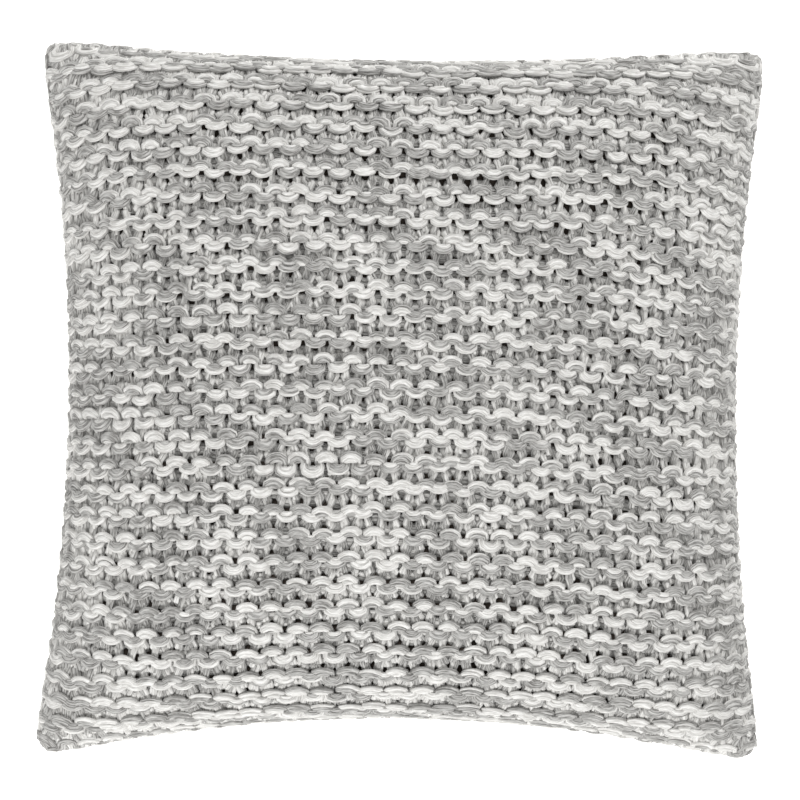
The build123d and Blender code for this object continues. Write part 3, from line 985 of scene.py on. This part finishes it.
# %% [markdown]
# ## Slider, crown and pull tab
#
# These are small nickel-plated castings. Their shape is the frame's own; what a casting adds is a
# round on every edge, which catches a line of light. So each is a copy of the frame's mesh, with its
# flat faces joined up again and its edges bevelled.

# %% Cast metal parts
SAME_PLACE = 0.001 * MM
FLAT_ANGLE = math.radians(2)
EDGE_ANGLE = math.radians(40)
SHARP_ANGLE = math.radians(35)

nickel, nickel_shader = new_material(
    "zinc casting, nickel plated, satin", Base_Color=linear("#C8C4BC"), Metallic=1.0, Roughness=0.28
)
nickel_place = add_node(nickel, "ShaderNodeTexCoord").outputs["Object"]
nickel_grain = add_noise(nickel, nickel_place, 1 / (0.4 * MM), 2)
nickel_range = {"Value": nickel_grain, "To Min": 0.2, "To Max": 0.42}
nickel_wear = add_node(nickel, "ShaderNodeMapRange", nickel_range)
connect(nickel, nickel_wear.outputs["Result"], nickel_shader, "Roughness")
add_relief(nickel, nickel_shader, nickel_grain, 0.08, 0.05 * MM)


def rounded_copy(node, name, radius, body):
    """The frame's mesh for a node with its doubles merged, flat faces joined and edges bevelled."""
    shape = bmesh.new()
    shape.from_mesh(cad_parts[node].data)
    bmesh.ops.remove_doubles(shape, verts=shape.verts, dist=SAME_PLACE)
    bmesh.ops.dissolve_limit(shape, angle_limit=FLAT_ANGLE, verts=shape.verts, edges=shape.edges)
    bmesh.ops.recalc_face_normals(shape, faces=shape.faces)
    mesh = bpy.data.meshes.new(name)
    shape.to_mesh(mesh)
    shape.free()
    piece = bpy.data.objects.new(name, mesh)
    bpy.context.scene.collection.objects.link(piece)
    bevel = piece.modifiers.new("edge round", "BEVEL")
    bevel.width = radius
    bevel.segments = 2
    bevel.limit_method = "ANGLE"
    bevel.angle_limit = EDGE_ANGLE
    mesh.materials.clear()
    mesh.materials.append(nickel)
    mesh.polygons.foreach_set("use_smooth", np.ones(len(mesh.polygons), bool))
    mesh.set_sharp_from_angle(angle=SHARP_ANGLE)
    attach(piece, body)
    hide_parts(node)
    print(f"{name}: {len(mesh.polygons)} faces before its bevel")


rounded_copy("zip_slider", "slider_body", 0.25 * MM, "slider")
rounded_copy("slider_crown", "slider_arch", 0.2 * MM, "slider")
rounded_copy("pull_tab", "pull_tab_plate", 0.3 * MM, "tab")
rounded_copy("zip_top_stops", "top_stops", 0.3 * MM, "pillow")
rounded_copy("zip_bottom_stop", "bottom_stop", 0.3 * MM, "pillow")

# %% [markdown]
# ## Sewing
#
# A lockstitch shows as a row of short separate stitches, each a little rounded and sunk at its ends.
# One function lays such a row along any path.

# %% Stitch rows
STITCH_LENGTH = 3.0 * MM
STITCH_SHARE = 0.46
THREAD_RADIUS = 0.22 * MM
THREAD_SUNK = 0.3
THREAD_TIP = 0.15
sewing_thread, _ = new_material(
    "spun polyester thread, three-ply, natural", Base_Color=linear("#E9E5DC"), Roughness=0.7
)


def stitch_row(name, path, normal, replaces):
    """Capsules along a path of points: each stitch is a short tube that arches off the cloth by
    its own radius and thins to a point at both ends."""
    travel = np.concatenate([[0], np.cumsum(np.linalg.norm(np.diff(path, axis=0), axis=1))])
    count = int(travel[-1] / STITCH_LENGTH)
    share = np.linspace(-STITCH_SHARE, STITCH_SHARE, 6)
    stations = (np.arange(count)[:, None] + 0.5 + share) * STITCH_LENGTH
    centres = np.stack([np.interp(stations, travel, path[:, axis]) for axis in range(3)], -1)
    normals = unit(np.stack([np.interp(stations, travel, normal[:, axis]) for axis in range(3)], -1))
    arch = 1 - (share / STITCH_SHARE) ** 2
    centres = centres + normals * (THREAD_RADIUS * (arch - THREAD_SUNK))[None, :, None]
    stitch_side, stitch_up = path_frame(centres, normals)
    radius = np.broadcast_to(THREAD_RADIUS * np.sqrt(THREAD_TIP + (1 - THREAD_TIP) * arch), stations.shape)
    shape = tubes(centres, stitch_side, stitch_up, radius, radius, 6, YARN_UV)
    new_piece(name, *shape, sewing_thread, "sewing_thread", replaces)


def outward_normal(path):
    """Level normals of a path that runs clockwise round the pillow, pointing away from it."""
    forward = unit(np.gradient(path, axis=0))
    return unit(np.cross(forward, np.array([0, 0, -1.0])))


HEM_ROW = 1.0
HEM_POINTS = 241
FRONT_ROW_INSET = 11.0 * MM
FRONT_ROW_HEIGHT = RIM + 2.9 * MM
RIM_STEPS = 200
seam_along = np.linspace(-GAP_REACH, GAP_REACH, HEM_POINTS)
hem_ends = np.interp([-GAP_REACH, GAP_REACH], canvas_outer[1, :, 0], np.arange(BACK_POINTS))
hem_columns = np.linspace(hem_ends[0], hem_ends[1], HEM_POINTS)
hem_rows = np.full(HEM_POINTS, HEM_ROW)
hem_path = sample(canvas_outer, hem_columns, hem_rows)
hem_normal = unit(sample(canvas_normal, hem_columns, hem_rows))
stitch_row("hem_stitches", hem_path, hem_normal, ["zip_thread_back"])
front_path = along_side("bottom", seam_along, FRONT_ROW_INSET, FRONT_ROW_HEIGHT)
stitch_row("front_tape_stitches", front_path, outward_normal(front_path), ["zip_thread_front"])


def rim_path(inset, gap):
    """Points right round the seam at an inset, clockwise from one end of the zip to the other."""
    share = np.linspace(-1, 1, RIM_STEPS + 1)
    one = np.ones_like(share)
    sides = [(share[::-1], -one), (-one, share), (share, one), (one, share[::-1])]
    loop = np.concatenate([np.stack(plan(u, v, inset), -1)[:-1] for u, v in sides])
    loop = np.concatenate([loop, np.full((len(loop), 1), RIM)], 1)
    if gap:
        loop = loop[(np.abs(loop[:, 0]) >= gap) | (loop[:, 1] >= 0)]
        jump = np.linalg.norm(np.diff(loop, axis=0), axis=1).argmax()
        loop = np.roll(loop, -(jump + 1), axis=0)
    return loop


for name, inset, gap, node in (
    ("cover_seam_stitches", 10.6 * MM, TAPE_REACH, "cover_seam_thread"),
    ("insert_seam_stitches", 12.4 * MM, 0, "insert_seam_thread"),
):
    path = rim_path(inset, gap)
    stitch_row(name, path, outward_normal(path), [node])

# %% [markdown]
# ## Labels
#
# Two blank satin labels are caught in the side seams, inside the cover: one for the cover and one for
# the insert. Each curls a little towards its free edge.

# %% Labels
LABEL_LENGTH = 40 * MM
LABEL_WIDTH = 16 * MM
LABEL_SEAM = 1.5 * MM
LABEL_THICKNESS = 0.4 * MM
LABEL_DEPTH = BACK_THICKNESS + 0.5 * MM
LABEL_CURL = 0.3 * MM
LABEL_WAVE = 5 * MM

label_satin = woven(
    "polyester satin ribbon, white, blank", "#F4F3F0", "#E0DFDB", 0.3 * MM, 0.3, Roughness=0.4
)
label_lengths = np.linspace(-0.5, 0.5, 25) * LABEL_LENGTH
label_along, label_across = np.meshgrid(label_lengths, np.linspace(0, LABEL_WIDTH, 11))
label_flat = np.stack([label_along, label_across], -1)
curl = LABEL_CURL * (1 + np.sin(label_along / LABEL_WAVE)) * label_across / LABEL_WIDTH
for name, side_sign, node in (
    ("care_label_ribbon", -1, "care_label"),
    ("insert_label_ribbon", 1, "insert_label"),
):
    label_x = side_sign * (CUT / 2 - LABEL_SEAM - label_across)
    surface = on_cloth(back_form, label_x, label_along)
    inwards = -unit(on_cloth(back_normal, label_x, label_along))
    outer = surface + inwards * (LABEL_DEPTH + curl)[..., None]
    under = outer + inwards * LABEL_THICKNESS
    shape = closed_sheet(outer, under, label_flat, faces_up=side_sign < 0)
    label = new_piece(name, *shape, label_satin, "label_satin", [node])

# %% [markdown]
# ## Insert
#
# Inside the cover is a second, plain pillow: two squares of cotton sheeting sewn round a loose filling
# of polyester fibre. It takes the cover's form, a little smaller all round.

# %% Insert
INSERT_INSET = 12.8 * MM
INSERT_THICKNESS = 0.5 * MM
INSERT_CROWN = CROWN - 13.4 * MM
INSERT_REST = 2.0 * MM
HALF_PLAN = 228 * MM


def nested(grid, inset, level_now, level_new):
    """A form moved inwards: its plan shrinks by inset, and its furthest height goes to a new level."""
    smaller = grid.copy()
    smaller[..., :2] *= 1 - (inset - SEAM_INSET) / HALF_PLAN
    smaller[..., 2] = RIM + (grid[..., 2] - RIM) * (level_new - RIM) / (level_now - RIM)
    return smaller


sheeting = woven("cotton sheeting, plain weave, bleached", "#F3F2EE", "#DAD8D2", 0.5 * MM, 0.4, Roughness=0.9)
form_flat = flat_grid(GRID)
for name, form, now, new, node in (
    ("front", front_form, front_form[..., 2].max(), INSERT_CROWN, "insert_front_panel"),
    ("back", back_form, back_form[..., 2].min(), INSERT_REST, "insert_back_panel"),
):
    step = math.copysign(INSERT_THICKNESS, now - RIM)
    outer = nested(form, INSERT_INSET, now, new)
    inside = nested(form, INSERT_INSET + INSERT_THICKNESS, now, new - step)
    shape = closed_sheet(outer, inside, form_flat, faces_up=name == "front")
    panel = new_piece(f"insert_{name}_sheeting", *shape, sheeting, "insert_cotton", [node])

# %% [markdown]
# The filling is loose carded fibre. Its surface is the same form, smaller again, with low lumps.

# %% Filling
FILL_GAP = 2 * MM
LUMP = 1.2 * MM
LUMP_LENGTHS = (11 * MM, 9 * MM)
LUMP_SHIFT = 1.3

fibre, fibre_shader = new_material(
    "polyester hollow fibre, carded, white", Base_Color=linear("#F7F7F5"), Roughness=1.0, Sheen_Weight=0.5
)
fibre_place = add_node(fibre, "ShaderNodeTexCoord").outputs["Object"]
fibre_noise = add_noise(fibre, fibre_place, 1 / (4 * MM), 6)
add_relief(fibre, fibre_shader, fibre_noise, 0.8, 2 * MM)
fill_inset = INSERT_INSET + FILL_GAP
fill_front = nested(front_form, fill_inset, front_form[..., 2].max(), INSERT_CROWN - 2 * LUMP)
fill_back = nested(back_form, fill_inset, back_form[..., 2].min(), INSERT_REST + 2 * LUMP)
lumps = LUMP * np.sin(form_flat[..., 0] / LUMP_LENGTHS[0])
lumps = lumps * np.sin(form_flat[..., 1] / LUMP_LENGTHS[1] + LUMP_SHIFT)
lumps = lumps * (1 - flat_u**8) * (1 - flat_v**8)
fill_front = fill_front + front_normal * lumps[..., None]
fill_back = fill_back + back_normal * lumps[..., None]
points = np.concatenate([fill_front.reshape(-1, 3), fill_back[inner]])
faces = np.concatenate([quads(front_index), quads(back_index)[:, ::-1]])
fill_uv = np.concatenate([form_flat.reshape(-1, 2), form_flat[inner]])
shape = (points, [faces], [fill_uv[faces]])
wadding = new_piece("fibre_wadding", *shape, fibre, "polyester_fibre", ["fibre_fill"])
